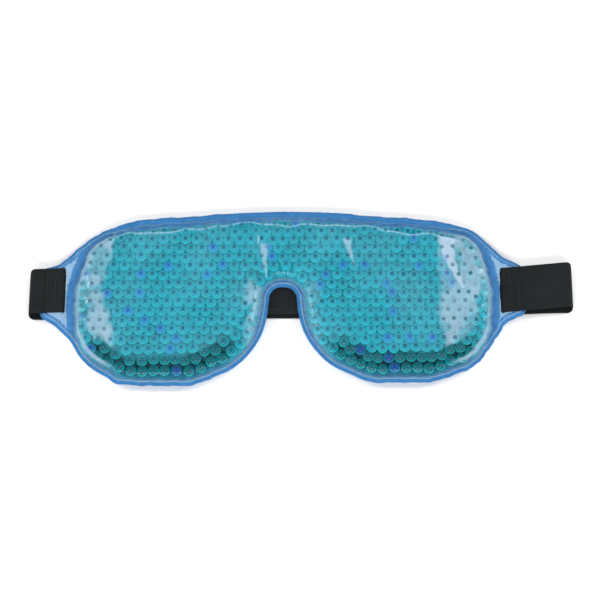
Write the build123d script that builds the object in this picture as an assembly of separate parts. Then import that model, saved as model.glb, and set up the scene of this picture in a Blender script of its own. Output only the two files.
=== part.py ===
"""Gel-bead eye mask lying on its back: bead-filled clear pouch, plush backing, looped strap.

Frame: millimetres, origin on the table under the middle of the mask, +X across the face towards
the wearer's left ear, +Y towards the forehead, +Z up, away from the face.
The mask is one soft sheet stack that bends at the nose bridge, so every sheet is cut at the
middle plane into a left and a right node, which the bridge hinge joins.
"""
from build123d import *
from math import sqrt
import os

# Driving dimensions -------------------------------------------------------------------------
# Half outline of the mask body, from the top middle round the lobe to the top of the nose notch.
BODY_CORNERS = [
    (0, 49.1), (20, 49.1), (88, 43.0), (108, 32.2), (116.8, 3.0), (115.2, -21.0), (103.5, -39.5),
    (80, -48.3), (46, -48.3), (24, -38.0), (11.3, -22.5), (6.3, 5.3), (0, 5.3),
]
BODY_RADII = [280, 55, 25, 70, 38, 32, 58, 40, 35, 25, 6.8]
# Half outline of the ear tab that carries the strap.
EAR_CORNERS = [(84, 42), (121.5, 18.8), (130.2, 15.8), (130.2, -10.0), (121, -14.8), (100, -36)]
EAR_RADII = [18, 3.5, 3.5, 14]

FILM = 0.3                # clear PVC sheet
PLUSH = 1.2               # pile fabric sheet
FLANGE_Z = 4.5            # underside of the flat rim
RIM = 4.0                 # welded rim, from the edge to the pouch
POUCH_TOP = 12.6          # outside of the pouch's front
POUCH_EDGE_R = 3.6
HALF_GAP = 0.15           # from the middle plane to each half's cut edge

BELLY_INSET = 6.5         # rear bulge's edge, in from the body outline
BELLY_CORNER_R = 5.0
BELLY_EDGE_R = 3.0
BELLY_MIDDLE_GAP = 10.0   # no bulge this near the middle plane
CHANNEL_BOTTOM, CHANNEL_TOP = -12.5, 17.5   # flat lane behind the strap, in y

BEAD_D = 5.75
BEAD_PITCH = 5.9
BEAD_GAP = 0.05           # least space between two beads
BLUE_SHARE = 0.09
BEAD_TO_EDGE = 3.5        # bead centre to the pouch's side wall

STRAP_T = 1.2
STRAP_W = 25.0
STRAP_Y = 3.5
LOWER_STRAP_Y = 2.0       # the right-hand band lies a little lower than the left-hand one
GRIP_GAP = 0.1            # between the strap and the ear it is sewn round
SLOT_X = 118.3
SLOT_W = 2.2
SLOT_L = 25.8
TAIL_END_X = 129.2
LEFT_REACH, RIGHT_REACH = 137.0, 156.5      # outermost points of the two folded straps
BEND_R = 1.2              # strap's centre line where it turns through the slot

HOOK_T, LOOP_T = 0.7, 0.6
TAB_LENGTH = 38.0         # end of the right band that carries the hook patch
CLOSURE_GAP = 0.05
PATCH_INSET = 1.5
PATCH_STITCHES = 9        # in each row
HOOK_BASE_T = 0.3
HOOK_ROWS, HOOK_PITCH = 9, 1.95
RAMP_START, RAMP_END = -48.0, -34.0         # where the left band climbs onto the tab

WELD_INNER, WELD_OUTER = 3.6, 2.2           # weld line, in from the body outline
WELD_H = 0.3

THREAD_R = 0.18
NEEDLE_R = 0.2            # needle hole
STITCH_PITCH = 3.0
STITCH_LENGTH = 2.0
STITCH_ROWS_X = (122.5, 127.0)
STITCHES_PER_ROW = 7

# Worked-out heights ---------------------------------------------------------------------------
BACK_FILM_Z = FLANGE_Z + PLUSH
FRONT_FILM_Z = BACK_FILM_Z + FILM
FLANGE_TOP = FRONT_FILM_Z + FILM
CAVITY_TOP = POUCH_TOP - FILM
FRONT_LEG_Z = FLANGE_TOP + GRIP_GAP + STRAP_T / 2
TAIL_Z = FLANGE_Z - GRIP_GAP - STRAP_T / 2
REAR_LEG_Z = STRAP_T / 2
TURN_R = (FRONT_LEG_Z - REAR_LEG_Z) / 2     # centre line of the strap's turn round the ear's end
TURN_Z = (FRONT_LEG_Z + REAR_LEG_Z) / 2
TURN_OUT = TURN_R + STRAP_T / 2
LOOP_FACE_Z = STRAP_T + HOOK_T + CLOSURE_GAP
UPPER_BAND_Z = LOOP_FACE_Z + LOOP_T + STRAP_T / 2
# The closure stays shut while the mask folds because the four pivots make a parallelogram.
CLOSURE_X = RIGHT_REACH - LEFT_REACH
BIG = 400.0

os.makedirs("parts", exist_ok=True)


def save(name, *solids):
    """Writes one node; several separate solids stay separate."""
    shape = solids[0] if len(solids) == 1 else Compound(children=list(solids))
    export_step(shape, f"parts/{name}.step")


def closed_face(line):
    """The face between a half outline and the middle plane, mirrored to both sides."""
    first, last = line @ 0, line @ 1
    half = make_face([*line.edges(), Line(last, first)]).face()
    return (Sketch() + half + mirror(half, about=Plane.YZ)).clean()


def body_face(inset=0.0):
    face = closed_face(FilletPolyline(*BODY_CORNERS, radius=BODY_RADII))
    return offset(face, amount=-inset) if inset else face


def ear_face():
    line = FilletPolyline(*EAR_CORNERS, radius=EAR_RADII)
    half = make_face([*line.edges(), Line(line @ 1, line @ 0)]).face()
    return Sketch() + half + mirror(half, about=Plane.YZ)


def anchor_places(side):
    """Middle of each stitch in the ear, (x, y)."""
    first = STRAP_Y - STITCH_PITCH * (STITCHES_PER_ROW - 1) / 2
    return [(side * x, first + STITCH_PITCH * n) for x in STITCH_ROWS_X for n in range(STITCHES_PER_ROW)]


def stitch_ends(places, along):
    """Both needle holes of each stitch, (x, y)."""
    dx, dy = (STITCH_LENGTH / 2, 0) if along == "x" else (0, STITCH_LENGTH / 2)
    return [(x + k * dx, y + k * dy) for x, y in places for k in (-1, 1)]


def outline_face():
    """Mask and ears, with the two strap slots and the needle holes cut."""
    face = (body_face() + ear_face()).clean()
    for side in (-1, 1):
        face = face - Pos(side * SLOT_X, STRAP_Y) * RectangleRounded(SLOT_W, SLOT_L, SLOT_W * 0.49)
        face = face - Locations(*stitch_ends(anchor_places(side), "y")) * Circle(NEEDLE_R)
    return face


def slab(face, low, high):
    return extrude(Pos(0, 0, low) * face, amount=high - low)


def halves(solid):
    """The left and right half of a solid, each a little clear of the middle plane."""
    left = solid & Pos(-BIG / 2 - HALF_GAP, 0, 0) * Box(BIG, BIG, BIG)
    right = solid & Pos(BIG / 2 + HALF_GAP, 0, 0) * Box(BIG, BIG, BIG)
    return left, right


def save_halves(name, solid):
    left, right = halves(solid)
    save(f"left_{name}", *left.solids())
    save(f"right_{name}", *right.solids())


def dome(inset, top, edge_r):
    """Solid under the pouch's front, down to the flange's front film."""
    solid = slab(body_face(inset), FRONT_FILM_Z, top)
    return fillet(solid.edges().filter_by_position(Axis.Z, top - 0.01, top + 0.01), edge_r)


def belly_faces(inset):
    """Rear bulges: two in each lobe, above and below the strap's lane."""
    zone = body_face(BELLY_INSET)
    faces = []
    for side in (-1, 1):
        for low, high in ((-BIG, CHANNEL_BOTTOM), (CHANNEL_TOP, BIG)):
            middle_x = side * (BIG / 2 + BELLY_MIDDLE_GAP)
            face = zone & Pos(middle_x, (low + high) / 2) * Rectangle(BIG, high - low)
            core = offset(face, amount=-BELLY_CORNER_R)
            faces.append(offset(core, amount=BELLY_CORNER_R - inset))
    return faces


def bellies(inset, bottom, edge_r):
    """Solids of the rear bulges, from the flange down."""
    solids = []
    for face in belly_faces(inset):
        solid = slab(face, bottom, FRONT_FILM_Z)
        low = solid.edges().filter_by_position(Axis.Z, bottom - 0.01, bottom + 0.01)
        solids.append(fillet(low, edge_r))
    return solids


def sheet_with_bellies(low, high, inset, wall):
    """A flat sheet with the rear bulges pressed into it."""
    sheet = slab(outline_face(), low, high)
    outer = bellies(inset, low - FLANGE_Z, BELLY_EDGE_R - inset)
    inner = bellies(inset + wall, high - FLANGE_Z, BELLY_EDGE_R - inset - wall)
    above = slab(outline_face(), high, high + 10)
    for a, b in zip(outer, inner):
        sheet = (sheet + a) - b
    return sheet - above


def front_film():
    """Domed clear film with its flat rim and the raised line where it is fused to the back."""
    outside = slab(outline_face(), FRONT_FILM_Z, FLANGE_TOP) + dome(RIM, POUCH_TOP, POUCH_EDGE_R)
    weld = slab(body_face(WELD_OUTER) - body_face(WELD_INNER), FLANGE_TOP - FILM / 2, FLANGE_TOP + WELD_H)
    return outside - dome(RIM + FILM, CAVITY_TOP, POUCH_EDGE_R - FILM) + weld


def lattice(shift):
    """Hexagonal rows of places over the whole mask, each row along X."""
    row_gap = BEAD_PITCH * sqrt(3) / 2
    return [
        ((column + (row % 2) / 2) * BEAD_PITCH, row * row_gap + shift)
        for row in range(-12, 12) for column in range(-22, 23)
    ]


def loose_places():
    """A fine grid of places, for beads that drop into what space is left."""
    return [(x * 0.7, y * 0.7) for y in range(-72, 72) for x in range(-168, 169)]


def pack_beads(placed, candidates, z, zones):
    """Adds a bead at each candidate place inside a zone that touches no bead placed before it."""
    least = (BEAD_D + BEAD_GAP) ** 2
    for x, y in candidates:
        crowd = (b for b in placed if abs(b[0] - x) < BEAD_D + BEAD_GAP)
        if all((b[0] - x) ** 2 + (b[1] - y) ** 2 + (b[2] - z) ** 2 >= least for b in crowd):
            if any(zone.is_inside(Vector(x, y, 0)) for zone in zones):
                placed.append((x, y, z))


def bead_places():
    """(x, y, z) of every gel bead: a full front layer, and a rear one over the bulges."""
    radius = BEAD_D / 2
    front_z = CAVITY_TOP - radius - 0.1
    rear_z = front_z - sqrt((BEAD_D + 0.06) ** 2 - BEAD_PITCH**2 / 3)
    edge = body_face(RIM + BEAD_TO_EDGE).face()
    count = int(edge.outer_wire().length / (BEAD_PITCH + 0.1))
    round_the_edge = [(p.X, p.Y) for p in (edge.outer_wire() @ (n / count) for n in range(count))]
    placed = []
    pack_beads(placed, round_the_edge, front_z, [body_face(RIM + BEAD_TO_EDGE - 0.02).face()])
    pack_beads(placed, lattice(1.0) + loose_places(), front_z, [edge])
    rear_zones = [f.face() for f in belly_faces(PLUSH + FILM + radius + 0.5)]
    hollows = lattice(1.0 - BEAD_PITCH / sqrt(3))
    pack_beads(placed, hollows + loose_places(), rear_z, rear_zones)
    return placed


def save_beads():
    groups = {}
    for n, (x, y, z) in enumerate(bead_places()):
        colour = "blue" if (n * 0.6180339 + n * n * 0.0137) % 1 < BLUE_SHARE else "teal"
        side = "right" if x > 0.01 else "left"
        groups.setdefault(f"{side}_{colour}_beads", []).append(Pos(x, y, z) * Sphere(BEAD_D / 2))
    for name, beads in groups.items():
        save(name, *beads)


def ribbon(path, y):
    """A strap of the standard width and thickness along a path in the XZ plane."""
    start, along = path @ 0, path % 0
    plane = Plane(origin=(start.X, y, start.Z), x_dir=(0, 1, 0), z_dir=along)
    return sweep(plane * Rectangle(STRAP_W, STRAP_T), path=Pos(0, y, 0) * path)


def quarter(centre_x, side, start_deg):
    """A quarter of the strap's turn, from start_deg, going towards the table."""
    end_deg = start_deg - 90
    plane = Plane(origin=(centre_x, 0, TURN_Z), x_dir=(side, 0, 0), z_dir=(0, -side, 0))
    return plane * CenterArc((0, 0), TURN_R, start_deg, end_deg - start_deg)


def anchor(side, reach):
    """The sewn end: tail behind the ear, up through the slot, out over the ear, half the turn."""
    turn_x = side * (reach - TURN_OUT)
    slot_x = side * SLOT_X
    legs = FilletPolyline(
        (side * TAIL_END_X, 0, TAIL_Z),
        (slot_x, 0, TAIL_Z),
        (slot_x, 0, FRONT_LEG_Z),
        (turn_x, 0, FRONT_LEG_Z),
        radius=BEND_R,
    )
    return ribbon(Wire([*legs.edges(), quarter(turn_x, side, 90)]), STRAP_Y)


def strap_turn(side, reach, y):
    """The other half of the turn, which opens away from the ear."""
    return ribbon(Wire([quarter(side * (reach - TURN_OUT), side, 0)]), y)


def pierce(solid, places, along):
    """The solid with a needle hole at both ends of each stitch."""
    needles = [Pos(x, y, 0) * Cylinder(NEEDLE_R, 40) for x, y in stitch_ends(places, along)]
    return solid - needles


def stitches(places, low, surface, along):
    """Thread staples through a stack, whose bars lie on the surface."""
    found = []
    ends = stitch_ends(places, along)
    high = surface + NEEDLE_R
    for (x0, y0), (x1, y1) in zip(ends[::2], ends[1::2]):
        path = FilletPolyline((x0, y0, low), (x0, y0, high), (x1, y1, high), (x1, y1, low), radius=0.19)
        section = Plane(origin=path @ 0, z_dir=(0, 0, 1)) * Circle(THREAD_R)
        found.append(sweep(section, path=path).solid())
    return found


def left_band():
    """Rear leg of the left strap: flat on the table, then up onto the hook tab."""
    start = -(LEFT_REACH - TURN_OUT)
    path = FilletPolyline(
        (start, 0, REAR_LEG_Z),
        (RAMP_START, 0, REAR_LEG_Z),
        (RAMP_END, 0, UPPER_BAND_Z),
        (CLOSURE_X, 0, UPPER_BAND_Z),
        radius=12,
    )
    return ribbon(path, STRAP_Y)


def flat_band(x0, x1, y):
    return Pos((x0 + x1) / 2, y, REAR_LEG_Z) * Box(abs(x1 - x0), STRAP_W, STRAP_T)


def patch_plate(y, low, thickness):
    length, width = TAB_LENGTH - 2 * PATCH_INSET, STRAP_W - 2 * PATCH_INSET
    return Pos(CLOSURE_X - TAB_LENGTH / 2, y, low + thickness / 2) * Box(length, width, thickness)


def hook_patch():
    """Woven base with rows of hooks along it, as a plate with ribs."""
    plate = patch_plate(LOWER_STRAP_Y, STRAP_T, HOOK_BASE_T)
    rib_h = HOOK_T - HOOK_BASE_T
    for n in range(HOOK_ROWS):
        y = LOWER_STRAP_Y + HOOK_PITCH * (n - (HOOK_ROWS - 1) / 2)
        rib = Box(TAB_LENGTH - 2 * PATCH_INSET - 1, HOOK_PITCH / 2, rib_h)
        plate = plate + Pos(CLOSURE_X - TAB_LENGTH / 2, y, STRAP_T + HOOK_BASE_T + rib_h / 2) * rib
    return plate


def patch_places(y):
    """Middle of each stitch in the two rows along a patch's long edges."""
    reach = STRAP_W / 2 - PATCH_INSET - 0.9
    step = 1.2 * STITCH_PITCH
    first = CLOSURE_X - TAB_LENGTH / 2 - step * (PATCH_STITCHES - 1) / 2
    return [(first + step * n, y + side * reach) for side in (-1, 1) for n in range(PATCH_STITCHES)]


def main():
    save_halves("plush_backing", sheet_with_bellies(FLANGE_Z, BACK_FILM_Z, 0, PLUSH))
    save_halves("back_film", sheet_with_bellies(BACK_FILM_Z, FRONT_FILM_Z, PLUSH, FILM))
    save_halves("front_film", front_film())
    save_beads()
    for name, side, reach in (("left", -1, LEFT_REACH), ("right", 1, RIGHT_REACH)):
        places = anchor_places(side)
        save(f"{name}_strap_anchor", pierce(anchor(side, reach), places, "y"))
        tail_bottom, leg_top = TAIL_Z - STRAP_T / 2, FRONT_LEG_Z + STRAP_T / 2
        save(f"{name}_anchor_stitching", *stitches(places, tail_bottom, leg_top, "y"))
        save(f"{name}_strap_turn", strap_turn(side, reach, STRAP_Y if side < 0 else LOWER_STRAP_Y))

    hook_places, loop_places = patch_places(LOWER_STRAP_Y), patch_places(STRAP_Y)
    save("left_strap_band", pierce(left_band(), loop_places, "x"))
    save("right_strap_band", flat_band(CLOSURE_X, RIGHT_REACH - TURN_OUT, LOWER_STRAP_Y))
    save("hook_tab", pierce(flat_band(CLOSURE_X - TAB_LENGTH, CLOSURE_X, LOWER_STRAP_Y), hook_places, "x"))
    save("hook_patch", pierce(hook_patch(), hook_places, "x"))
    save("hook_patch_stitching", *stitches(hook_places, 0.02, STRAP_T + HOOK_BASE_T, "x"))
    save("loop_patch", pierce(patch_plate(STRAP_Y, LOOP_FACE_Z, LOOP_T), loop_places, "x"))
    stitch_top = UPPER_BAND_Z + STRAP_T / 2
    save("loop_patch_stitching", *stitches(loop_places, LOOP_FACE_Z + 0.02, stitch_top, "x"))


main()
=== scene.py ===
"""Looks of the gel-bead eye mask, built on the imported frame.

Shapes are worked out in millimetres and stored in metres. In plan, d is the distance in from the pouch's
outline and out is the distance in from the sheets' outer edge; both are positive inside.
"""

import math

import bmesh
import bpy
import numpy as np
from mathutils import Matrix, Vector
from mathutils.geometry import delaunay_2d_cdt


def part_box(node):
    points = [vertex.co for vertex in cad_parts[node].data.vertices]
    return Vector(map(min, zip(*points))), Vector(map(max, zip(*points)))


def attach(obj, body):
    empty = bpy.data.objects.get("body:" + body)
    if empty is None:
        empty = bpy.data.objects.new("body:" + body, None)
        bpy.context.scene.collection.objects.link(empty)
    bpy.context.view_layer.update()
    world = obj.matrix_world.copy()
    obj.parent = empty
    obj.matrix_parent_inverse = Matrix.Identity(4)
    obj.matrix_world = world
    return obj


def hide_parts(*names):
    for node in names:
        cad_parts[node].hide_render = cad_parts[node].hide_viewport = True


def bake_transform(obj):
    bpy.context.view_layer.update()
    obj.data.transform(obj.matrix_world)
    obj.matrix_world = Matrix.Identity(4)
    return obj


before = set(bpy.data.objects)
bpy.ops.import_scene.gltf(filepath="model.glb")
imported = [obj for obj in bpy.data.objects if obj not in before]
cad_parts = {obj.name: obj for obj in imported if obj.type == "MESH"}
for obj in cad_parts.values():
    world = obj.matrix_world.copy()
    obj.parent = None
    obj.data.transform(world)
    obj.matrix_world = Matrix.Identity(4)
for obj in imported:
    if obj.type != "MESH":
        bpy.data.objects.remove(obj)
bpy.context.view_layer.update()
MM = 0.001
rng = np.random.default_rng(7)


# ------------------------------------------------------------------------------------ frame sizes
def box_mm(node):
    low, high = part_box(node)
    return np.array(low) / MM, np.array(high) / MM


plush_high = box_mm("left_plush_backing")[1]
film_low, film_high = box_mm("right_front_film")
left_low, left_high = box_mm("left_strap_turn")
right_high = box_mm("right_strap_turn")[1]
band_high = box_mm("left_strap_band")[1]
tab_low, tab_high = box_mm("hook_tab")

FILM_T, PLUSH_T = 0.3, 1.2
STRAP_T = tab_high[2] - tab_low[2]
STRAP_HALF_W = 12.5
STRAP_Y = 3.5
FLANGE_TOP = film_low[2] + FILM_T
FLANGE_Z = plush_high[2] - PLUSH_T
POUCH_TOP = film_high[2]
BACK_FILM_Z = FLANGE_TOP - 0.52          # back of the two films where they are welded
PLUSH_FACE_Z = FLANGE_TOP - 0.66         # pile side of the plush under the weld
RIM = 4.2                                # welded rim, from the outline to the pouch
WELD_AT, EDGE_SEAM_AT = 3.6, 2.9         # grooves, in from the outline and from the outer edge
SLOT_X, SLOT_HALF_W, SLOT_HALF_L = 118.3, 1.1, 12.9
BEAD_R, REAR_BEAD_R = 3.0, 2.875


# --------------------------------------------------------------------------------------- outlines
def rounded(corners, radii, step=1.4):
    """Points of an open line whose inner corners are rounded."""
    pts = [np.array(corners[0], float)]
    for i, r in enumerate(radii, 1):
        a, p, b = (np.array(corners[k], float) for k in (i - 1, i, i + 1))
        u, v = (a - p) / np.linalg.norm(a - p), (b - p) / np.linalg.norm(b - p)
        half = math.acos(np.clip(u @ v, -1, 1)) / 2
        reach = r / math.tan(half)
        c = p + (u + v) / np.linalg.norm(u + v) * r / math.sin(half)
        s, e = p + u * reach, p + v * reach
        a0, a1 = math.atan2(*(s - c)[::-1]), math.atan2(*(e - c)[::-1])
        turn = (a1 - a0 + math.pi) % (2 * math.pi) - math.pi
        n = max(2, int(abs(turn) * r / step))
        angles = [a0 + turn * k / n for k in range(n + 1)]
        pts += [c + r * np.array([math.cos(a), math.sin(a)]) for a in angles]
    pts.append(np.array(corners[-1], float))
    return np.array(pts)


def even(line, step):
    """The line, closed, as evenly spaced points."""
    closed = np.vstack([line, line[:1]])
    seg = np.linalg.norm(np.diff(closed, axis=0), axis=1)
    at = np.concatenate([[0], np.cumsum(seg)])
    n = int(at[-1] / step)
    s = np.linspace(0, at[-1], n, endpoint=False)
    return np.stack([np.interp(s, at, closed[:, k]) for k in (0, 1)], 1)


def both_sides(right, left, step):
    """Closed outline from two halves, both written as right halves from the top middle round."""
    mirrored = left[::-1] * (-1, 1)
    return even(np.vstack([right[:-1], mirrored[:-1]]), step)


NOTCH = [(8.3, -9), (7.0, 5.8), (0, 5.8)]
BODY_R = rounded(
    [
        (0, 49.3), (22, 49.0), (88, 43.6), (110, 33.5), (117.0, 3.0), (114.6, -22.0), (104.5, -38.5),
        (80, -47.6), (46, -47.6), (24, -37.4), (11.6, -22.5), *NOTCH,
    ],
    [280, 60, 22, 70, 38, 32, 58, 40, 35, 40, 60, 6.6],
)
BODY_L = rounded(
    [
        (0, 49.3), (22, 48.6), (84, 43.6), (107, 32.5), (117.0, 3.0), (114.0, -24.0), (104.5, -39.5),
        (80, -49.6), (46, -49.2), (23.0, -38.2), (10.9, -22.5), *NOTCH,
    ],
    [280, 40, 24, 70, 38, 32, 50, 40, 35, 40, 60, 6.6],
)
ALL_R = rounded(
    [
        (0, 49.3), (22, 49.0), (88, 43.6), (103, 38.5), (119.5, 22.5), (130.3, 17.0), (130.3, -9.5),
        (120, -14.0), (114.6, -22.0), (104.5, -38.5), (80, -47.6), (46, -47.6), (24, -37.4),
        (11.6, -22.5), *NOTCH,
    ],
    [280, 60, 22, 9, 5, 4, 12, 14, 32, 58, 40, 35, 40, 60, 6.6],
)
ALL_L = rounded(
    [
        (0, 49.3), (22, 48.6), (81, 44.2), (102, 36.0), (121.0, 18.8), (130.3, 15.2), (130.3, -11.5),
        (122.5, -15.5), (114.0, -24.0), (104.5, -39.5), (80, -49.6), (46, -49.2), (23.0, -38.2),
        (10.9, -22.5), *NOTCH,
    ],
    [280, 14, 22, 9, 3.5, 4, 12, 14, 32, 50, 40, 35, 40, 60, 6.6],
)


def right_normal(line):
    """Unit normals of a closed line, to the right of the way it runs."""
    t = np.roll(line, -1, 0) - np.roll(line, 1, 0)
    return np.stack([t[:, 1], -t[:, 0]], 1) / np.linalg.norm(t, axis=1)[:, None]


def soften(line, seed):
    """Small unevenness of a hand-fed soft edge, and the corner low on the left lobe, on a clockwise line."""
    inward = right_normal(line)
    a = line[:, 0] * 0.19 + line[:, 1] * 0.23 + seed
    wave = 0.22 * np.sin(a) + 0.16 * np.sin(2.3 * a + 1.1) + 0.1 * np.sin(4.9 * a + 2.0)
    lobes = np.clip((np.abs(line[:, 0]) - 20) / 20, 0, 1)
    corner = 2.0 * np.exp(-(((line[:, 0] + 88) / 4.2) ** 2 + ((line[:, 1] + 45) / 7) ** 2))
    return line + inward * (wave * lobes)[:, None] - inward * corner[:, None]


BODY = soften(both_sides(BODY_R, BODY_L, 1.0), 0.4)
OUTER = soften(both_sides(ALL_R, ALL_L, 0.55), 0.4)


def slot_line(side):
    """Outline of the slot that the strap passes through, round at both ends."""
    x, w = side * SLOT_X, SLOT_HALF_W
    a = np.linspace(0, math.pi, 7)
    top = np.stack([x + w * np.cos(a), STRAP_Y + SLOT_HALF_L - w + w * np.sin(a)], 1)
    return even(np.vstack([top, -(top - (x, STRAP_Y)) + (x, STRAP_Y)]), 0.7)


SLOTS = [slot_line(-1), slot_line(1)]


def distance(p, line):
    """Distance from points to a closed line, positive inside it."""
    a, b = line, np.roll(line, -1, 0)
    out = np.empty(len(p))
    for k in range(0, len(p), 4000):
        q = p[k : k + 4000, None, :]
        ab = (b - a)[None]
        t = np.clip(((q - a[None]) * ab).sum(2) / (ab**2).sum(2), 0, 1)
        d = np.sqrt((((a[None] + ab * t[..., None]) - q) ** 2).sum(2)).min(1)
        x, y = q[..., 0], q[..., 1]
        cross = ((a[None, :, 1] > y) != (b[None, :, 1] > y)) & (
            x < (b - a)[None, :, 0] * (y - a[None, :, 1]) / ((b - a)[None, :, 1] + 1e-12) + a[None, :, 0]
        )
        out[k : k + 4000] = np.where(cross.sum(1) % 2 == 1, d, -d)
    return out


def field(line, step=0.75):
    """A fast version of distance() for one line, read off a grid."""
    xs, ys = np.arange(-140, 140 + step, step), np.arange(-60, 60 + step, step)
    gx, gy = np.meshgrid(xs, ys, indexing="ij")
    grid = distance(np.stack([gx.ravel(), gy.ravel()], 1), line).reshape(gx.shape)

    def read(p):
        u = np.clip((p[:, 0] - xs[0]) / step, 0, len(xs) - 1.001)
        v = np.clip((p[:, 1] - ys[0]) / step, 0, len(ys) - 1.001)
        i, j = u.astype(int), v.astype(int)
        f, g = u - i, v - j
        low = grid[i, j] * (1 - f) + grid[i + 1, j] * f
        high = grid[i, j + 1] * (1 - f) + grid[i + 1, j + 1] * f
        return low * (1 - g) + high * g

    return read


def inset(line, by):
    """The closed clockwise line moved inwards by a distance that varies along it."""
    moved = line + right_normal(line) * by(line)[:, None]
    return even((np.roll(moved, 1, 0) + 2 * moved + np.roll(moved, -1, 0)) / 4, 0.6)


body_d, outer_d = field(BODY), field(OUTER[::2])


def smooth(x, a, b):
    t = np.clip((x - a) / (b - a), 0, 1)
    return t * t * (3 - 2 * t)


def top_side(p):
    """1 along the top edge of the mask, 0 elsewhere."""
    return smooth(p[:, 1], 22, 32) * (1 - smooth(np.abs(p[:, 0]), 84, 100))


def film_inset(p):
    """How far the film stops short of the plush's edge."""
    return 1.7 + 1.7 * top_side(p)


FILM_EDGE = inset(OUTER, film_inset)


def waves(p, freq, seed, octaves=4):
    """Smooth noise from a few sines, about -1 to 1."""
    r = np.random.default_rng(seed)
    total, amp, norm = np.zeros(len(p)), 1.0, 0.0
    for _ in range(octaves):
        for _ in range(3):
            a = r.uniform(0, 2 * math.pi)
            along = p[:, 0] * math.cos(a) + p[:, 1] * math.sin(a)
            total += amp * np.sin(freq * along + r.uniform(0, 7)) / 1.7
            norm += amp / 1.7
        freq *= 1.9
        amp *= 0.6
    return total / norm * 1.8


# ---------------------------------------------------------------------------------------- heights
def bridge(p):
    """1 at the nose bridge, 0 out on the lobes."""
    return np.exp(-((p[:, 0] / 13) ** 2))


def fold_line(p):
    """Distance in from the edge at which the film creases, along the top."""
    x = p[:, 0]
    wander = 1.1 * np.sin(x / 11 + 0.6) + 0.7 * np.sin(x / 5.3 + 2) + 0.45 * np.sin(x / 2.6)
    return 9.3 + wander + 1.6 * np.exp(-(((x - 62) / 16) ** 2))


def rim(p):
    """Distance in from the edge at which the pouch starts."""
    return RIM + 1.9 * top_side(p) - 1.2 * smooth(-p[:, 1], 15, 30)


def pouch_z(p, d):
    """Height of the bead pouch's front, without the marks of single beads."""
    rise = POUCH_TOP - FLANGE_TOP
    start = rim(p)
    r = 6.8 + 2.5 * top_side(p)
    u = np.clip((d - start) / r, 0, 1)
    dome = (1 - (1 - u) ** 3) ** 0.43
    z = FLANGE_TOP + rise * dome * (0.985 - 0.05 * bridge(p))
    inner = smooth(d, start, start + 4)
    z += inner * (0.22 * waves(p, 0.13, 3) - 0.1)
    ends = smooth(np.abs(p[:, 0]), 82, 104)
    z += inner * ends * (0.3 * waves(p * (1.0, 0.35), 0.32, 11, 2) - 0.25)
    crease = d - fold_line(p)
    ridge, valley = 0.55 * np.exp(-((crease / 0.8) ** 2)), 0.5 * np.exp(-(((crease + 2.6) / 1.6) ** 2))
    z += top_side(p) * (ridge - valley) * smooth(d, start, start + 1)
    return z


def weld_z(d, out):
    """Grooves of the weld round the pouch and of the seam along the outer edge."""
    weld = -0.22 * np.exp(-(((d - WELD_AT) / 0.5) ** 2))
    return weld - 0.12 * np.exp(-(((out - EDGE_SEAM_AT) / 0.4) ** 2))


def back_z(p, d):
    """Height of the plush's rear face: flat rim and strap lane, bulges above and below the lane."""
    lane = np.clip(1 - smooth(p[:, 1], -13.0, -19.0) - smooth(p[:, 1], 18.0, 24.0), 0, 1)
    inside = smooth(d, 5.8, 12.5) * smooth(np.abs(p[:, 0]), 6, 17)
    bulge = inside * (1 - lane)
    return FLANGE_Z - (FLANGE_Z - 0.12) * bulge


def hex_grid(spacing):
    """Points in staggered rows over the whole mask."""
    rows = []
    for j, y in enumerate(np.arange(-54, 54, spacing * 0.866)):
        x = np.arange(-134, 134, spacing) + (spacing / 2 if j % 2 else 0)
        rows.append(np.stack([x, np.full(len(x), y)], 1))
    return np.vstack(rows)


# ------------------------------------------------------------------------------------------ beads
def bead_centres(node):
    """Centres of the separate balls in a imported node."""
    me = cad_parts[node].data
    co = np.array([v.co for v in me.vertices]) / MM
    parent = list(range(len(co)))

    def root(i):
        while parent[i] != i:
            parent[i] = parent[parent[i]]
            i = parent[i]
        return i

    for e in me.edges:
        a, b = root(e.vertices[0]), root(e.vertices[1])
        if a != b:
            parent[a] = b
    groups = {}
    for i in range(len(co)):
        groups.setdefault(root(i), []).append(i)
    keep = []
    for g in groups.values():
        middle = (co[g].min(0) + co[g].max(0)) / 2
        if not any(np.linalg.norm(middle - k) < 1.0 for k in keep[-40:]):
            keep.append(middle)
    return np.array(keep)


teal = np.vstack([bead_centres("left_teal_beads"), bead_centres("right_teal_beads")])
blue = np.vstack([bead_centres("left_blue_beads"), bead_centres("right_blue_beads")])


def bottom_side(p):
    """1 along the bottom edge of the lobes, 0 elsewhere."""
    d, ax = body_d(p), np.abs(p[:, 0])
    depth = 17 + 2.5 * waves(p, 0.09, 19, 2)
    low = smooth(-p[:, 1], 20, 30) * (1 - smooth(d, depth - 3, depth))
    return low * (1 - smooth(ax, 98, 108)) * smooth(ax, 20, 32)


def relax(xy, rounds):
    """Spreads the beads over the pouch, as shaking would, a little closer together at the bottom."""
    grid = hex_grid(1.3)
    grid = grid[body_d(grid) > rim(grid) + 0.7]
    weight = 1 + 0.35 * bottom_side(grid)
    for _ in range(rounds):
        parts = np.array_split(grid, 12)
        near = np.concatenate([((g[:, None] - xy[None]) ** 2).sum(2).argmin(1) for g in parts])
        count = np.bincount(near, weight, len(xy))
        mid = np.stack([np.bincount(near, grid[:, k] * weight, len(xy)) for k in (0, 1)], 1)
        xy = np.where(count[:, None] > 4, xy + 0.8 * (mid / np.maximum(count, 1)[:, None] - xy), xy)
    return xy


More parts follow.
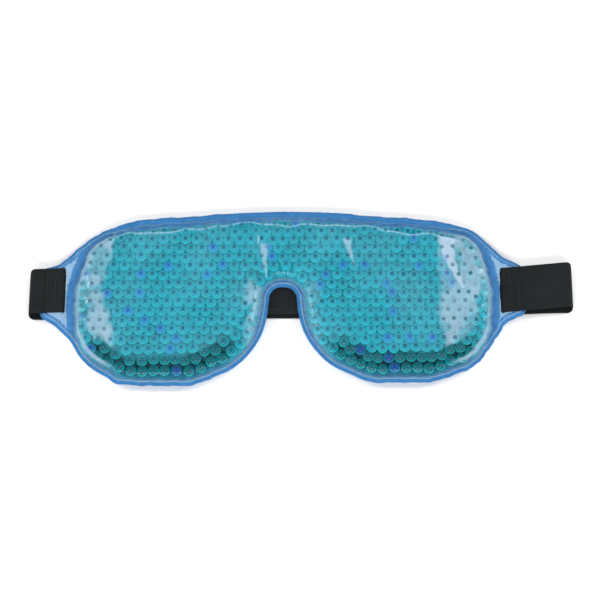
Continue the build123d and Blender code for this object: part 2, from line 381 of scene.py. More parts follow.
def fit_beads(xy):
    """Beads (x, y, z, radius) at places xy, each just under the film and clear of the plush."""
    found = np.zeros((len(xy), 4))
    floor_z = np.minimum(back_z(xy, body_d(xy)) + PLUSH_T, BACK_FILM_Z) + 0.12
    for radius in np.arange(BEAD_R, 1.5, -0.15):
        limit = np.full(len(xy), POUCH_TOP)
        for r in np.array((0, 0.45, 0.72, 0.9)) * radius:
            for a in np.arange(8) * math.pi / 4:
                q = xy + (r * math.cos(a), r * math.sin(a))
                d = body_d(q)
                film_z = np.where(d > rim(q), pouch_z(q, d), FLANGE_TOP)
                limit = np.minimum(limit, film_z - math.sqrt(radius**2 - r * r) - 0.1)
        fits = (found[:, 3] == 0) & (limit >= floor_z + radius)
        found[fits] = np.column_stack([xy, limit, np.full(len(xy), radius)])[fits]
    return found[found[:, 3] > 0]


def settle(c):
    """Rear beads as packed; front beads evened out, the gaps at the pouch's edge filled."""
    rear, front = c[c[:, 2] < 7], c[c[:, 2] > 7]
    xy = front[:, :2]
    spots = hex_grid(0.8)
    for q in spots[body_d(spots) > rim(spots) + 2.9]:
        if ((xy - q) ** 2).sum(1).min() > 4.6**2:
            xy = np.vstack([xy, q])
    drift = np.stack([waves(xy, 0.07, 21, 2), waves(xy, 0.07, 22, 2)], 1) * 0.5
    xy = relax(xy + drift, 10) + rng.normal(0, 0.12, xy.shape)
    return np.column_stack([rear, np.full(len(rear), REAR_BEAD_R)]), fit_beads(xy)


rear, fronts = settle(np.vstack([teal, blue]))
is_blue = np.array([np.linalg.norm(blue[:, :2] - c[:2], axis=1).min() < 2.6 for c in fronts])
rear_blue = np.array([np.linalg.norm(blue - c[:3], axis=1).min() < 0.01 for c in rear])
teal, blue = np.vstack([fronts[~is_blue], rear[~rear_blue]]), np.vstack([fronts[is_blue], rear[rear_blue]])


def nearest_bead(p):
    """Distance in plan to the nearest front bead's middle."""
    out = np.empty(len(p))
    for k in range(0, len(p), 4000):
        q = p[k : k + 4000]
        out[k : k + 4000] = np.sqrt(((q[:, None, :] - fronts[None, :, :2]) ** 2).sum(2).min(1))
    return out


# ----------------------------------------------------------------------------------------- meshes
def link(name, verts, faces, smooth_shade=True):
    me = bpy.data.meshes.new(name)
    me.from_pydata([tuple(v) for v in np.asarray(verts) * MM], [], faces)
    me.update()
    ob = bpy.data.objects.new(name, me)
    bpy.context.scene.collection.objects.link(ob)
    if smooth_shade:
        me.polygons.foreach_set("use_smooth", [True] * len(me.polygons))
    return ob


def set_attribute(ob, name, values):
    at = ob.data.attributes.new(name, "FLOAT", "POINT")
    at.data.foreach_set("value", np.asarray(values, np.float32))


def within(p, loops):
    """Distance from points to the first loop, read off the grid except close to the line."""
    inside = outer_d(p)
    close = np.abs(inside) < 4
    inside[close] = distance(p[close], loops[0])
    return inside


def fill(loops, spacing, extra=None, avoid=1.45):
    """Triangles inside the first loop and outside the others, with the extra points among them.

    Gives the points, the faces, and which points lie on each loop.
    """
    grid = hex_grid(spacing)
    grid = grid + rng.normal(0, spacing * 0.06, grid.shape)
    keep = within(grid, loops) > spacing * 0.55
    for hole in loops[1:]:
        keep &= distance(grid, hole) < -spacing * 0.55
    grid = grid[keep]
    if extra is not None:
        grid = np.vstack([grid[nearest_bead(grid) > avoid + spacing * 0.4], extra])
    pts = np.vstack([*loops, grid])
    starts = np.cumsum([0] + [len(loop) for loop in loops[:-1]])
    edges = []
    for start, loop in zip(starts.tolist(), loops):
        edges += [(start + i, start + (i + 1) % len(loop)) for i in range(len(loop))]
    co, _, faces, orig, _, _ = delaunay_2d_cdt([Vector(q) for q in pts], edges, [], 0, 1e-6, True)
    co = np.array([tuple(c) for c in co])
    first = np.full(len(pts), -1)
    for i, sources in enumerate(orig):
        for k in sources:
            first[k] = i
    faces = np.array(faces)
    mid = co[faces].mean(1)
    ok = within(mid, loops) > 0
    for hole in loops[1:]:
        ok &= distance(mid, hole) < 0
    return co, faces[ok], [first[start : start + len(loop)] for start, loop in zip(starts, loops)]


def oriented(co, faces, up):
    """Faces turned so that they look up or down."""
    a, b, c = (co[faces[:, k]] for k in range(3))
    area = np.cross(b - a, c - a)
    flip = (area > 0) != up
    faces = faces.copy()
    faces[flip] = faces[flip][:, ::-1]
    return faces


def closed_sheet(name, loops, top_fn, bottom_fn, top_gap, bottom_gap, extra=None):
    """Closed solid between two height functions over the area inside the loops.

    Gives the object, its points in plan, and 1 for each point of the top or 0 for the bottom.
    """
    co1, f1, rings1 = fill(loops, top_gap, extra)
    co2, f2, rings2 = fill(loops, bottom_gap)
    f1, f2 = oriented(co1, f1, True), oriented(co2, f2, False)
    n = len(co1)
    verts = np.vstack([np.column_stack([co1, top_fn(co1)]), np.column_stack([co2, bottom_fn(co2)])])
    faces = [tuple(f) for f in f1.tolist()] + [tuple(i + n for i in f) for f in f2.tolist()]
    for r1, r2 in zip(rings1, rings2):
        for i in range(len(r1)):
            j = (i + 1) % len(r1)
            faces.append((int(r1[i]), int(r1[j]), int(r2[j]) + n, int(r2[i]) + n))
    ob = link(name, verts, faces)
    bm = bmesh.new()
    bm.from_mesh(ob.data)
    bmesh.ops.recalc_face_normals(bm, faces=bm.faces)
    bm.to_mesh(ob.data)
    bm.free()
    is_top = np.concatenate([np.ones(n), np.zeros(len(co2))])
    return ob, np.vstack([co1, co2]), is_top


def edge_round(d, t):
    """0 at the sheet's edge, 1 from t in, like a rounded lip."""
    u = np.clip(d / t, 0, 1)
    return np.sqrt(1 - (1 - u) ** 2)


# -------------------------------------------------------------------------------------- materials
def lin(r, g, b):
    """Linear RGBA of a screen colour given as 0 to 255."""
    levels = (c / 255 for c in (r, g, b))
    return tuple(((v + 0.055) / 1.055) ** 2.4 if v > 0.04 else v / 12.92 for v in levels) + (1.0,)


class Mat:
    """A material's node tree, built node by node."""

    def __init__(self, name):
        self.m = bpy.data.materials.new(name)
        self.m.use_nodes = True
        self.nt = self.m.node_tree
        self.nt.nodes.clear()
        self.out = self.node("ShaderNodeOutputMaterial")

    def node(self, kind, **values):
        n = self.nt.nodes.new(kind)
        for k, v in values.items():
            if hasattr(n, k):
                setattr(n, k, v)
            else:
                n.inputs[k.replace("_", " ")].default_value = v
        return n

    def link(self, a, b):
        self.nt.links.new(a, b)

    def attribute(self, name):
        return self.node("ShaderNodeAttribute", attribute_name=name).outputs["Fac"]

    def math(self, op, a, b=None):
        n = self.node("ShaderNodeMath", operation=op)
        for k, v in enumerate((a, b)):
            if v is None:
                continue
            if isinstance(v, (int, float)):
                n.inputs[k].default_value = v
            else:
                self.link(v, n.inputs[k])
        return n.outputs[0]

    def ramp(self, fac, stops):
        n = self.node("ShaderNodeValToRGB")
        el = n.color_ramp.elements
        while len(el) < len(stops):
            el.new(0.5)
        for e, (pos, col) in zip(el, stops):
            e.position, e.color = pos, col
        self.link(fac, n.inputs[0])
        return n.outputs[0]

    def mix(self, fac, a, b, mode="MIX"):
        n = self.node("ShaderNodeMix", data_type="RGBA", blend_type=mode)
        for k, v in ((0, fac), (6, a), (7, b)):
            if isinstance(v, (int, float, tuple)):
                n.inputs[k].default_value = v
            else:
                self.link(v, n.inputs[k])
        return n.outputs[2]

    def noise(self, scale, detail=3.0, rough=0.55, vector=None):
        n = self.node("ShaderNodeTexNoise", Scale=scale, Detail=detail, Roughness=rough)
        self.link(vector or self.coords(), n.inputs["Vector"])
        return n.outputs["Fac"]

    def coords(self):
        if not hasattr(self, "_coords"):
            self._coords = self.node("ShaderNodeTexCoord").outputs["Object"]
        return self._coords

    def bump(self, height, strength, dist):
        n = self.node("ShaderNodeBump", Strength=strength, Distance=dist)
        self.link(height, n.inputs["Height"])
        return n.outputs[0]

    def principled(self, **values):
        return self.node("ShaderNodeBsdfPrincipled", **values)

    def done(self, shader):
        self.link(shader, self.out.inputs["Surface"])
        return self.m


def bead_material(name, dark, mid, ring, low, shadowed):
    """Gel seen from above: dark middle, lighter disc, and a bright ring that is painted caustic light; at
    tone_and_shade 0 dark painted shade but for the ring.
    """
    m = Mat(name)
    rad, tone_and_shade = m.attribute("rad"), m.attribute("tone_and_shade")
    # The bright ring is painted caustic light of the refracting gel, not a colour of the gel.
    stops = [(0.0, dark), (0.30, dark), (0.44, mid), (0.74, mid), (0.86, ring), (0.95, ring), (1.0, low)]
    col = m.ramp(rad, stops)
    # Painted shade: shadowed colours with the ring at half brightness, mixed in as tone_and_shade falls.
    dim = tuple(0.5 * v for v in ring[:3]) + (1.0,)
    deep = m.ramp(rad, [(0.0, shadowed), (0.74, shadowed), (0.86, dim), (0.94, dim), (1.0, shadowed)])
    col = m.mix(tone_and_shade, deep, col)
    p = m.principled(Roughness=0.25, IOR=1.36)
    p.inputs["Specular IOR Level"].default_value = 0.3
    m.link(col, p.inputs["Base Color"])
    return m.done(p.outputs[0])


# ring is painted caustic light; shadowed is the painted shade colour.
teal_mat = bead_material(
    "teal_gel",
    dark=lin(6, 92, 112), mid=lin(20, 140, 164), ring=lin(24, 200, 206), low=lin(10, 150, 166),
    shadowed=lin(0, 84, 96),
)
blue_mat = bead_material(
    "blue_gel",
    dark=lin(20, 72, 156), mid=lin(34, 112, 190), ring=lin(36, 176, 216), low=lin(16, 110, 170),
    shadowed=lin(8, 60, 124),
)


def film_material():
    """Clear film, clouded by haze_and_painted_light, its milky clouding with painted highlights and
    reflections, tinted by white and liner, under a gloss coat.
    """
    m = Mat("clear_film")
    haze_and_painted_light, white, gloss, liner = (m.attribute(name) for name in ("haze_and_painted_light", "white", "gloss", "liner"))
    fine = m.noise(900, 2)
    alpha = m.math("MULTIPLY", haze_and_painted_light, m.math("ADD", m.math("MULTIPLY", fine, 0.3), 0.85))
    # The pale colour is milky film and also the painted highlights and softbox reflections.
    col = m.mix(white, lin(52, 190, 216), lin(178, 204, 226))
    col = m.mix(liner, col, lin(14, 156, 172))
    p = m.principled(Roughness=0.32, IOR=1.45)
    m.link(col, p.inputs["Base Color"])
    clear = m.node("ShaderNodeBsdfTransparent")
    body = m.node("ShaderNodeMixShader")
    m.link(alpha, body.inputs[0])
    m.link(clear.outputs[0], body.inputs[1])
    m.link(p.outputs[0], body.inputs[2])
    shine = m.node("ShaderNodeBsdfGlossy", Roughness=0.13)
    bump = m.bump(m.noise(260, 2, 0.5), 0.25, 0.0004)
    m.link(bump, shine.inputs["Normal"])
    facing = m.node("ShaderNodeLayerWeight")
    m.link(bump, facing.inputs["Normal"])
    grazing = m.math("MULTIPLY", m.math("POWER", facing.outputs["Facing"], 5.0), 0.8)
    top = m.node("ShaderNodeMixShader")
    m.link(m.math("MULTIPLY", m.math("ADD", grazing, 0.045), gloss), top.inputs[0])
    m.link(body.outputs[0], top.inputs[1])
    m.link(shine.outputs[0], top.inputs[2])
    return m.done(top.outputs[0])


def plush_material():
    """Short blue pile, deeper in colour where it is pressed flat by the weld."""
    m = Mat("plush")
    pile = m.noise(1500, 3, 0.7)
    clump = m.noise(320, 3)
    weld = m.attribute("weld")
    col = m.ramp(clump, [(0.25, lin(30, 98, 164)), (0.75, lin(70, 138, 194))])
    deep = m.ramp(clump, [(0.25, lin(24, 92, 150)), (0.75, lin(48, 116, 174))])
    col = m.mix(weld, col, deep)
    col = m.mix(m.math("MULTIPLY", pile, 0.25), col, lin(110, 170, 222))
    p = m.principled(Roughness=0.95)
    p.inputs["Specular IOR Level"].default_value = 0.15
    p.inputs["Sheen Weight"].default_value = 0.08
    p.inputs["Sheen Roughness"].default_value = 0.5
    p.inputs["Sheen Tint"].default_value = lin(150, 200, 240)
    m.link(col, p.inputs["Base Color"])
    m.link(m.bump(m.math("ADD", pile, clump), 0.8, 0.0006), p.inputs["Normal"])
    return m.done(p.outputs[0])


def strap_material():
    """Knitted elastic: ribs along the strap from its along and across coordinates."""
    m = Mat("strap")
    along, across = m.attribute("along"), m.attribute("across")
    ribs = m.math("SINE", m.math("MULTIPLY", across, 2 * math.pi / 1.0))
    picks = m.math("SINE", m.math("MULTIPLY", along, 2 * math.pi / 0.8))
    weave = m.math("MULTIPLY", ribs, picks)
    fuzz = m.noise(1800, 3, 0.7)
    broad = m.noise(60, 2)
    yarn = m.math("ADD", m.math("MULTIPLY", ribs, 0.35), m.math("MULTIPLY", fuzz, 0.8))
    height = m.math("ADD", m.math("MULTIPLY", weave, 0.5), yarn)
    patchy = m.math("ADD", m.math("MULTIPLY", fuzz, 0.6), m.math("MULTIPLY", broad, 0.4))
    col = m.ramp(patchy, [(0.3, lin(12, 16, 17)), (0.75, lin(30, 35, 36))])
    p = m.principled(Roughness=0.88)
    p.inputs["Specular IOR Level"].default_value = 0.2
    m.link(col, p.inputs["Base Color"])
    m.link(m.bump(height, 0.6, 0.00025), p.inputs["Normal"])
    return m.done(p.outputs[0])


def plain_material(name, a, b, scale, rough, strength, dist):
    """Two colours mottled by noise, with the same noise as relief."""
    m = Mat(name)
    n = m.noise(scale, 3, 0.6)
    p = m.principled(Roughness=rough)
    m.link(m.ramp(n, [(0.3, a), (0.7, b)]), p.inputs["Base Color"])
    m.link(m.bump(n, strength, dist), p.inputs["Normal"])
    return m.done(p.outputs[0])


film_mat, plush_mat, strap_mat = film_material(), plush_material(), strap_material()
thread_mat = plain_material("thread", lin(14, 16, 18), lin(40, 44, 46), 4000, 0.8, 0.8, 0.0001)
hook_mat = plain_material("hooks", lin(16, 17, 18), lin(34, 36, 38), 2500, 0.45, 0.6, 0.0002)
loop_mat = plain_material("loop_pile", lin(14, 15, 16), lin(46, 50, 52), 2200, 0.95, 1.0, 0.0005)


def give(ob, mat):
    ob.data.materials.clear()
    ob.data.materials.append(mat)
    return ob


# ------------------------------------------------------------------------------------- film pouch
def contact_points():
    """Points round each front bead, so that the film's mesh follows where it lies on the bead."""
    spots = []
    for bead in fronts:
        spots.append([[bead[0], bead[1]]])
        for r, n in ((0.55, 6), (0.95, 9), (1.4, 12)):
            a = np.arange(n) * 2 * math.pi / n
            spots.append(np.stack([bead[0] + r * np.cos(a), bead[1] + r * np.sin(a)], 1))
    spots = np.vstack(spots)
    return spots[body_d(spots) > 2.5]


def film_top(p):
    d, out = body_d(p), outer_d(p)
    z = np.where(d > rim(p), pouch_z(p, d), FLANGE_TOP)
    near = nearest_bead(p)
    z += -0.16 * smooth(near, 0.9, 2.9) * smooth(d, RIM + 1, RIM + 4)
    z += weld_z(d, out) * (d > -2)
    ears = (d < 0) * smooth(np.minimum(out, -d), 0.6, 2.5)
    z += ears * (0.5 + 0.12 * waves(p, 1.1, 5, 2))
    return z - 0.3 * (1 - edge_round(out - film_inset(p), 0.4))


def film_bottom(p):
    return np.minimum(back_z(p, body_d(p)) + PLUSH_T + 0.1, BACK_FILM_Z)


def end_haze_and_reflection(p):
    """How far a point lies in the clouded outer ends of the lobes, and in their pale patches drawn as air
    pockets; the white there is partly a painted softbox reflection.
    """
    d, ax = body_d(p), np.abs(p[:, 0])
    wander = 1.5 * waves(p, 0.2, 33, 2)
    edge_beads = 1 - smooth(d, 9.5 + wander, 12.5 + wander)
    low_side = smooth(12 - p[:, 1], 0, 14)
    ragged = 3.5 * waves(p, 0.11, 32, 3) + 1.3 * waves(p, 0.6, 34, 2)
    left = p[:, 0] < 0
    ends = smooth(ax + ragged, np.where(left, 91, 83), np.where(left, 94.5, 86.5))
    return ends * (1 - 0.9 * edge_beads * low_side), smooth(waves(p, 0.17, 31, 3), -0.1, 0.12)


def nose_cloud(p):
    """The cloudy patches at both sides of the nose arch, fainter on the right."""
    x, y = p[:, 0], p[:, 1]
    ax = np.abs(x)
    cloud = (1 - smooth(ax, 17, 23)) * smooth(ax, 10, 12) * smooth(y + 34, 0, 8) * (1 - smooth(y, 4, 10))
    return cloud * smooth(waves(p, 0.3, 51, 3), -0.75, -0.35) * np.where(x < 0, 1.0, 0.4)


def streak(p, top, bottom, wide, lean):
    """A narrow tapered pale patch on the film, like trapped air under it, pointed at its lower end."""
    x, y = p[:, 0], p[:, 1]
    along = (top[1] - y) / (top[1] - bottom[1])
    middle = top[0] + (bottom[0] - top[0]) * along + lean * np.sin(along * math.pi)
    half = wide * (1 - 0.85 * np.clip(along, 0, 1)) * (1 + 0.12 * np.sin(y * 0.9))
    inside = 1 - smooth(np.abs(x - middle) / half, 0.75, 1.15)
    return inside * smooth(along, -0.06, 0.03) * (1 - smooth(along, 0.95, 1.03))


# The last streak, on the right lobe, is a painted softbox reflection.
STREAKS = [
    ((-10.2, 28.0), (-8.6, 9.0), 2.3, -0.5), ((34.5, 31.0), (39.0, 15.5), 2.2, -0.6),
    ((-13.2, 33.0), (-13.6, 28.0), 0.9, 0.2), ((88.0, 31.0), (97.0, 3.0), 4.4, -1.6),
]


def pouch_haze_and_painted_light(p):
    """Haze and whiteness of the film over the beads, with painted softbox reflections at the lobe ends and
    on the right lobe and a painted highlight along the top fold.
    """
    d, ax, near = body_d(p), np.abs(p[:, 0]), nearest_bead(p)
    ends, pocket_and_reflection = end_haze_and_reflection(p)
    # pocket_and_reflection: pale patches, partly painted softbox reflection.
    haze_and_painted_light = 0.27 + 0.07 * waves(p, 0.2, 41, 3) + 0.14 * ends + 0.12 * ends * pocket_and_reflection
    white = 0.06 + 0.1 * waves(p, 0.12, 43, 2) + 0.5 * ends + 0.3 * ends * pocket_and_reflection
    nose = nose_cloud(p)
    haze_and_painted_light += 0.22 * nose
    white += 0.6 * nose
    for each in STREAKS:
        mark = streak(p, *each)
        haze_and_painted_light += 0.27 * mark
        white += 0.7 * mark
    haze_and_painted_light = haze_and_painted_light * (1 - 0.93 * bottom_side(p))
    white = white * (1 - bottom_side(p))
    fold = fold_line(p)
    top_band = top_side(p) * (1 - smooth(d, fold - 1.2, fold - 0.4))
    # Painted highlight: a pale line along the crest of the film's top fold, over its real ridge.
    crease = top_side(p) * np.exp(-(((d - fold) / 0.45) ** 2))
    haze_and_painted_light = haze_and_painted_light * (1 - 0.7 * top_band) + 0.42 * crease
    white = white + 0.9 * crease
    touch = 1 - smooth(near, 0.95, 1.45)
    haze_and_painted_light = haze_and_painted_light * (1 - (0.55 + 0.3 * waves(p, 0.5, 71, 2)) * touch)
    side_band = smooth(ax, 84, 98) * smooth(d, RIM - 0.4, RIM + 0.2) * (1 - smooth(d, RIM + 1.3, RIM + 2.4))
    return haze_and_painted_light * (1 - side_band) + 0.5 * side_band, white * (1 - side_band) + side_band


def rim_haze_and_highlight(p):
    """Haze of the welded rim: faint, but for a painted highlight line at its inner corner, the ears and the
    cut edge.
    """
    d, out = body_d(p), outer_d(p)
    # Painted highlight: a thin pale line at the foot of the pouch's wall.
    corner = 0.12 * np.exp(-(((d - rim(p) + 0.4) / 0.35) ** 2))
    ear = (d < -1.0) * (out > 3.6)
    return np.where(ear, 0.5, 0.02 + corner) + 0.45 * (1 - smooth(out - film_inset(p), 0.25, 0.8))


def dress_film(ob, p, is_top):
    """Stores how cloudy, white and glossy the film is, painted highlights and reflections included; on its
    back, the opaque liner.
    """
    d, start = body_d(p), rim(p)
    haze_and_painted_light, white = pouch_haze_and_painted_light(p)
    wall = smooth(d, start - 0.5, start + 0.5)
    haze_and_painted_light = haze_and_painted_light * wall + rim_haze_and_highlight(p) * (1 - wall)
    white = white * wall + (1 - wall) * 0.85
    back = smooth(d, start - 0.2, start + 0.6) * (1 - is_top) * (1 - 0.45 * bottom_side(p))
    set_attribute(ob, "liner", back)
    set_attribute(ob, "haze_and_painted_light", np.clip(haze_and_painted_light, 0, 0.92) * is_top + 0.9 * back)
    set_attribute(ob, "white", np.clip(white, 0, 1))
    set_attribute(ob, "gloss", is_top * (0.2 + 0.8 * smooth(d, start + 3.5, start + 7)))


film_loops, dots = [FILM_EDGE, *SLOTS], contact_points()
film, plan, is_top = closed_sheet("bead_pouch_film", film_loops, film_top, film_bottom, 0.8, 2.6, dots)
dress_film(film, plan, is_top)
give(film, film_mat)
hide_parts("left_front_film", "right_front_film", "left_back_film", "right_back_film")


# ---------------------------------------------------------------------------------- plush backing
def plush_top(p):
    d, out = body_d(p), outer_d(p)
    z = np.minimum(back_z(p, d) + PLUSH_T, PLUSH_FACE_Z)
    lip = film_inset(p)
    z += 0.55 * (1 - smooth(out, lip - 0.7, lip)) * edge_round(out, 0.9)
    return z - 0.35 * (1 - edge_round(out, 0.6)) + 0.05 * waves(p, 2.6, 61, 2)


def plush_bottom(p):
    d, out = body_d(p), outer_d(p)
    z = back_z(p, d) + 0.12 * waves(p, 0.9, 62, 4)
    low = np.minimum(z, FLANGE_Z + 0.1)
    return np.maximum(low, 0.02) + 0.45 * (1 - edge_round(out, 0.7))


plush, plan, is_top = closed_sheet("plush_backing", [OUTER, *SLOTS], plush_top, plush_bottom, 1.6, 1.1)
d, out = body_d(plan), outer_d(plan)
weld = np.maximum(smooth(d, -0.3, 0.2) * (1 - smooth(d, 4, 4.8)), 1 - smooth(out, 1.8, 2.4)) * is_top
set_attribute(plush, "weld", weld)
give(plush, plush_mat)
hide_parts("left_plush_backing", "right_plush_backing")


# ------------------------------------------------------------------------------------ bead meshes
def ball(segments, levels):
    """Unit ball as points and faces."""
    pts, faces = [(0, 0, 1)], []
    for i in range(1, levels):
        a = math.pi * i / levels
        for j in range(segments):
            b = 2 * math.pi * j / segments
            pts.append((math.sin(a) * math.cos(b), math.sin(a) * math.sin(b), math.cos(a)))
    pts.append((0, 0, -1))
    last = len(pts) - 1
    for j in range(segments):
        k = (j + 1) % segments
        faces.append((0, 1 + j, 1 + k))
        faces.append((last, last - segments + k, last - segments + j))
        for i in range(levels - 2):
            s = 1 + i * segments
            faces.append((s + j, s + segments + j, s + segments + k, s + k))
    return np.array(pts), faces


def beads(name, centres):
    """One mesh of all the balls; rad is the distance from a ball's middle in plan, tone_and_shade a random
    per-bead darkening times painted shade along the pouch's bottom edge.
    """
    verts, faces, rad, tone_and_shade = [], [], [], []
    start = 0
    for c in centres:
        pts, ball_faces = ball(15, 12) if c[2] > 6 else ball(12, 8)
        r = c[3] * (1 + rng.normal(0, 0.008))
        stretch = 1 + rng.normal(0, 0.02, 2)
        shaped = pts * (r * stretch[0], r * stretch[1], r)
        verts.append(shaped + c[:3])
        faces += [tuple(i + start for i in f) for f in ball_faces]
        rad.append(np.hypot(pts[:, 0], pts[:, 1]))
        # Each bead a little darker at random, and darker still along the bottom edge as painted shade.
        shade = rng.uniform(0.6, 1) * (1 - 0.97 * bottom_side(c[None, :2])[0])
        tone_and_shade.append(np.full(len(pts), shade))
        start += len(pts)
    ob = link(name, np.vstack(verts), faces)
    set_attribute(ob, "rad", np.concatenate(rad))
    set_attribute(ob, "tone_and_shade", np.concatenate(tone_and_shade))
    return ob


teal_beads = give(beads("teal_beads", teal), teal_mat)
blue_beads = give(beads("blue_beads", blue), blue_mat)
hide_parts("left_teal_beads", "right_teal_beads")
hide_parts("left_blue_beads", "right_blue_beads")


# ------------------------------------------------------------------------------------- plush fuzz
def fuzz(name, line, per_mm, length):
    """Short curved fibres standing out of the plush sheet's cut edge."""
    nxt = np.roll(line, -1, 0)
    n = -right_normal(line)
    count = int(np.linalg.norm(nxt - line, axis=1).sum() * per_mm)
    at = rng.integers(0, len(line), count)
    f = rng.uniform(0, 1, count)
    base = line[at] * (1 - f[:, None]) + nxt[at] * f[:, None] - n[at] * 0.35
    out = n[at] + rng.normal(0, 0.45, (count, 2))
    out /= np.linalg.norm(out, axis=1)[:, None]
    z0 = FLANGE_Z + 0.15 + rng.uniform(0, 0.95, count)
    dz = rng.normal(0, 0.35, count)
    ln = length * rng.uniform(0.5, 1.25, count)
    verts, faces = [], []
    for k in range(count):
        aim = np.array([out[k, 0], out[k, 1], dz[k]])
        side = np.array([-out[k, 1], out[k, 0], rng.normal(0, 0.5)])
        side = side / np.linalg.norm(side) * 0.055
        foot = np.array([base[k, 0], base[k, 1], z0[k]])
        knee = foot + aim * ln[k] * 0.55
        tip = foot + aim * ln[k] + np.array([0, 0, -0.15 * ln[k]])
        s = len(verts)
        verts += [foot - side, foot + side, knee + side * 0.7, knee - side * 0.7, tip]
        faces += [(s, s + 1, s + 2, s + 3), (s + 3, s + 2, s + 4)]
    ob = link(name, np.array(verts), faces, False)
    set_attribute(ob, "weld", np.zeros(len(verts)))
    return ob


edge_fuzz = give(fuzz("plush_edge_pile", OUTER, 9.0, 0.75), plush_mat)


# ------------------------------------------------------------------------------------------ strap
def ribbon(name, path, along0=0.0):
    """Strap along (x, y, z) points, its width near enough along Y, with rounded selvedges.

    Gives the object and the length along the strap at its end, counted on from along0.
    """
    path = np.array(path, float)
    step = np.gradient(path, axis=0)
    tang = step / np.linalg.norm(step, axis=1)[:, None]
    flat = np.abs(tang[:, :1]) > 0.9
    square = np.stack([-tang[:, 1], tang[:, 0], np.zeros(len(path))], 1) * np.sign(tang[:, :1])
    across = np.where(flat, square, 0)
    across[~flat[:, 0]] = (0, 1, 0)
    across = (np.roll(across, 1, 0) + across + np.roll(across, -1, 0)) / 3
    across[0], across[-1] = across[1], across[-2]
    across /= np.linalg.norm(across, axis=1)[:, None]
    normal = np.cross(tang * (1, 0, 1), across)
    normal /= np.linalg.norm(normal, axis=1)[:, None]
    s = np.concatenate([[0], np.cumsum(np.linalg.norm(np.diff(path, axis=0), axis=1))]) + along0
    ys = np.concatenate([[-1.0, -0.985, -0.95], np.linspace(-0.9, 0.9, 19), [0.95, 0.985, 1.0]])
    th = np.interp(np.abs(ys), [0, 0.88, 0.95, 0.985, 1.0], [1.0, 1.0, 0.9, 0.62, 0.25]) * STRAP_T / 2 * 0.98
    profile = [(y, t) for y, t in zip(ys, th)] + [(y, -t) for y, t in zip(ys[::-1], th[::-1])]
    m = len(profile)
    verts, faces, al, ac = [], [], [], []
    for i in range(len(path)):
        for y, t in profile:
            verts.append(path[i] + across[i] * y * STRAP_HALF_W + normal[i] * t)
            al.append(s[i])
            ac.append(y * STRAP_HALF_W)
    for i in range(len(path) - 1):
        for k in range(m):
            a, b = i * m + k, i * m + (k + 1) % m
            faces.append((a, b, b + m, a + m))
    faces.append(tuple(range(m))[::-1])
    faces.append(tuple((len(path) - 1) * m + k for k in range(m)))
    ob = link(name, np.array(verts), faces)
    set_attribute(ob, "along", al)
    set_attribute(ob, "across", ac)
    return ob, s[-1]


def arc_xz(cx, cz, r, a0, a1, n):
    """Points of an arc in the XZ plane, its angles in degrees."""
    a = np.radians(np.linspace(a0, a1, n))
    return np.stack([cx + r * np.cos(a), np.zeros(n), cz + r * np.sin(a)], 1)


def densify(pts, step):
    """Points about one step apart along an open line."""
    pts = np.array(pts, float)
    seg = np.linalg.norm(np.diff(pts, axis=0), axis=1)
    at = np.concatenate([[0], np.cumsum(seg)])
    s = np.linspace(0, at[-1], max(2, int(at[-1] / step)) + 1)
    return np.stack([np.interp(s, at, pts[:, k]) for k in range(3)], 1)


def strap_side(side, reach, z_turn, lean, y_rear):
    """Paths of one strap's end and of its fold, worked for the right side and mirrored for the left.

    Lean is the strap's slope in plan, in degrees. Gives also the fold's axis in X and the rear run's height.
    """
    r = (left_high[2] - left_low[2]) - STRAP_T / 2
    front_z, rear_z = z_turn + r, z_turn - r
    tail_z = FLANGE_Z - 0.1 - STRAP_T / 2
    cx = reach - r - STRAP_T / 2
    bend = 1.2
    bend_x, tail_x, seam_x = SLOT_X + bend, 129.2, 128.4
    tail = densify([(tail_x, 0, tail_z), (bend_x, 0, tail_z)], 0.8)
    up = arc_xz(bend_x, tail_z + bend, bend, 270, 180, 6)
    over = arc_xz(bend_x, front_z - bend, bend, 180, 90, 6)
    front = densify([(bend_x, 0, front_z), (seam_x, 0, front_z)], 0.8)
    end_path = np.vstack([tail, up[1:], over, front[1:]])
    run = densify([(seam_x, 0, front_z), (cx, 0, front_z)], 0.8)
    fold_path = np.vstack([run, arc_xz(cx, z_turn, r, 90, -90, 22)[1:]])

    def place(path):
        p = path.copy()
        p[:, 1] = STRAP_Y + np.maximum(p[:, 0] - SLOT_X, 0) * math.tan(math.radians(lean))
        p[:, 0] *= side
        return p

    end_p, fold_p = place(end_path), place(fold_path)
    back = smooth((front_z - fold_path[:, 2]) / (2 * r), 0, 1)
    turning = fold_path[:, 2] < front_z - 1e-6
    fold_p[:, 1] = np.where(turning, fold_p[:, 1] * (1 - back) + y_rear * back, fold_p[:, 1])
    return end_p, fold_p, cx, rear_z


OUTER_Y_R, INNER_Y_R = 5.0, 2.0          # middle of the rear runs, by the folds and by the closure
OUTER_Y_L, INNER_Y_L = 1.2, 3.5
end_r, fold_r, cx_r, rear_z = strap_side(1, right_high[0], right_high[2], 5.5, OUTER_Y_R)
end_l, fold_l, cx_l, _ = strap_side(-1, -left_low[0], left_high[2], -2.0, OUTER_Y_L)

strap_end_r, s_r = ribbon("right_strap_end", end_r)
strap_fold_r, s_r = ribbon("right_strap_fold", fold_r, s_r)
strap_end_l, s_l = ribbon("left_strap_end", end_l)
strap_fold_l, s_l = ribbon("left_strap_fold", fold_l, s_l)

closure_x = tab_high[0]
split_x = 40.0


def rear_y(x, cx, y_outer, y_inner):
    return y_inner + (y_outer - y_inner) * smooth(np.abs(x), 80, cx)


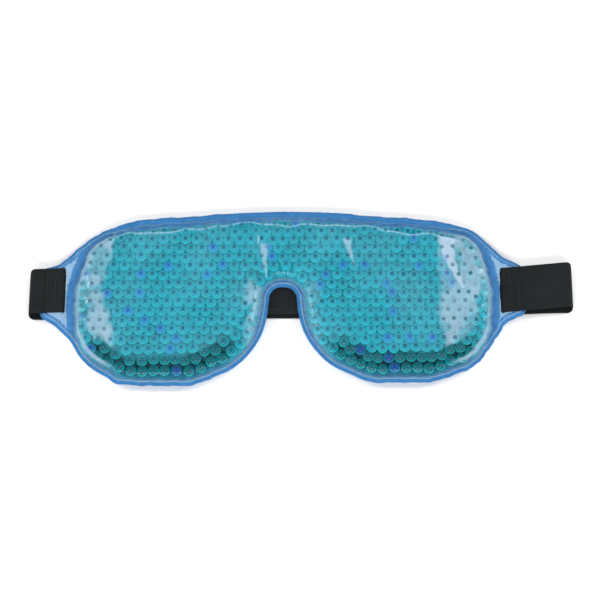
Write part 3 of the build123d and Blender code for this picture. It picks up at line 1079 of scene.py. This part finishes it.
xs = np.linspace(cx_r, split_x, 70)
rear_r_path = np.stack([xs, rear_y(xs, cx_r, OUTER_Y_R, INNER_Y_R), np.full(len(xs), rear_z)], 1)
rear_r, s_r = ribbon("right_strap_rear", rear_r_path, s_r)
xs = np.linspace(split_x, tab_low[0], 50)
tab_path = np.stack([xs, np.full(len(xs), INNER_Y_R), np.full(len(xs), rear_z)], 1)
tab, s_r = ribbon("right_strap_tab", tab_path, s_r)

upper_z = band_high[2] - STRAP_T / 2
xs = np.linspace(-cx_l, closure_x, 130)
zs = rear_z + (upper_z - rear_z) * smooth(xs, -49, -33)
rear_l_path = np.stack([xs, rear_y(xs, cx_l, OUTER_Y_L, INNER_Y_L), zs], 1)
rear_l, _ = ribbon("left_strap_rear", rear_l_path, s_l)
for ob in (strap_end_r, strap_fold_r, strap_end_l, strap_fold_l, rear_r, tab, rear_l):
    give(ob, strap_mat)

for node, mat, slot in (
    ("left_anchor_stitching", thread_mat, "thread"), ("right_anchor_stitching", thread_mat, "thread"),
    ("hook_patch_stitching", thread_mat, "thread"), ("loop_patch_stitching", thread_mat, "thread"),
    ("hook_patch", hook_mat, "hooks"), ("loop_patch", loop_mat, "loop_pile"),
):
    give(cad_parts[node], mat)


# ----------------------------------------------------------------------------------------- bodies
for ob in (film, plush, teal_beads, blue_beads, edge_fuzz):
    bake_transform(ob)
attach(strap_end_l, "left_lobe")
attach(strap_end_r, "right_lobe")
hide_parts("left_strap_anchor")
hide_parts("right_strap_anchor")
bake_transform(strap_fold_l)
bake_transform(strap_fold_r)
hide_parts("left_strap_turn")
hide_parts("right_strap_turn")
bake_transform(rear_l)
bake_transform(rear_r)
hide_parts("left_strap_band")
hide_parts("right_strap_band")
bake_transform(tab)
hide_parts("hook_tab")


# ------------------------------------------------------------------------- stage, light and camera
floor_mesh = bpy.data.meshes.new("floor")
floor_mesh.from_pydata([(-4, -4, 0), (4, -4, 0), (4, 4, 0), (-4, 4, 0)], [], [(0, 1, 2, 3)])
floor = bpy.data.objects.new("floor", floor_mesh)
bpy.context.scene.collection.objects.link(floor)
floor.location.z = -0.0002
floor_paint = Mat("floor")
paint = floor_paint.principled(Roughness=0.9, Base_Color=(0.92, 0.92, 0.92, 1))
floor.data.materials.append(floor_paint.done(paint.outputs[0]))

world = bpy.data.worlds.new("world")
world.use_nodes = True
world.node_tree.nodes["Background"].inputs[0].default_value = (1, 1, 1, 1)
world.node_tree.nodes["Background"].inputs[1].default_value = 0.30
bpy.context.scene.world = world


def softbox(name, place, size, watts):
    """A rectangular lamp aimed at the origin."""
    data = bpy.data.lights.new(name, "AREA")
    data.shape, data.size, data.size_y, data.energy = "RECTANGLE", size[0], size[1], watts
    ob = bpy.data.objects.new(name, data)
    bpy.context.scene.collection.objects.link(ob)
    ob.location = place
    ob.rotation_euler = (-Vector(place)).to_track_quat("-Z", "Y").to_euler()


softbox("front_wide", (0, -1.3, 1.1), (1.6, 0.6), 26.0)
softbox("left_strip", (-1.05, 0.35, 0.95), (0.5, 0.9), 12.0)
softbox("right_strip", (1.05, 0.4, 0.95), (0.5, 0.9), 12.0)

cam = bpy.data.cameras.new("camera")
cam.lens, cam.sensor_width = 100, 36
cam_ob = bpy.data.objects.new("camera", cam)
bpy.context.scene.collection.objects.link(cam_ob)
elevation, reach = math.radians(72), 0.90
aim = Vector((0.0092, 0.0, 0.004))
cam_ob.location = aim + reach * Vector((0, -math.cos(elevation), math.sin(elevation)))
cam_ob.rotation_euler = (aim - cam_ob.location).to_track_quat("-Z", "Y").to_euler()
bpy.context.scene.camera = cam_ob
bpy.context.scene.view_settings.view_transform = "Standard"
